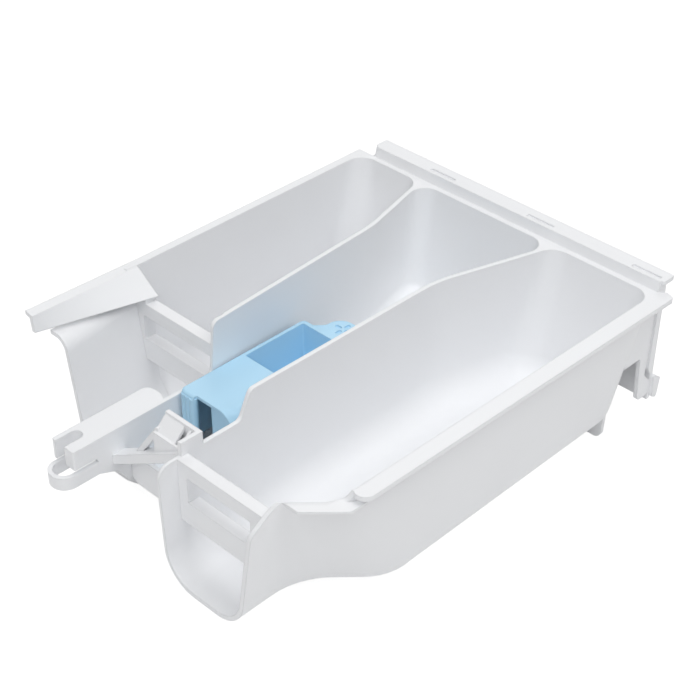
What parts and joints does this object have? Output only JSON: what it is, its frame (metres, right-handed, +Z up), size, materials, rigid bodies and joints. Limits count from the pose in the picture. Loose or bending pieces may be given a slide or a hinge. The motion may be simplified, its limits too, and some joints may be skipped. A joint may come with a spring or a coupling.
{
  "type": "detergent dispenser drawer",
  "caption": "Inner tray of a washing machine's detergent drawer: long compartments that end in open spouts, slide rims, and a lift-out siphon insert in the softener compartment.",
  "frame": {"origin": "under the middle of the tray's box, on the surface that its spout and feet stand on", "axes": "+Y towards the handle end, so the drawer is pulled out along +Y and the spouts point along -Y; +Z up; +X towards the wide compartment"},
  "size_m": [0.204, 0.261, 0.0802],
  "materials": {
    "white_plastic": "smooth injection-moulded plastic, white, satin",
    "blue_plastic": "smooth injection-moulded plastic, light blue, satin"
  },
  "bodies": {
    "tray": {"drawer_tray": "white_plastic"},
    "siphon": {"siphon_insert": "blue_plastic"}
  },
  "joints": [
    {"name": "siphon_lift", "type": "slide", "parent": "tray", "child": "siphon", "axis": [0, 0, 1], "range_m": [0, 0.065]}
  ]
}
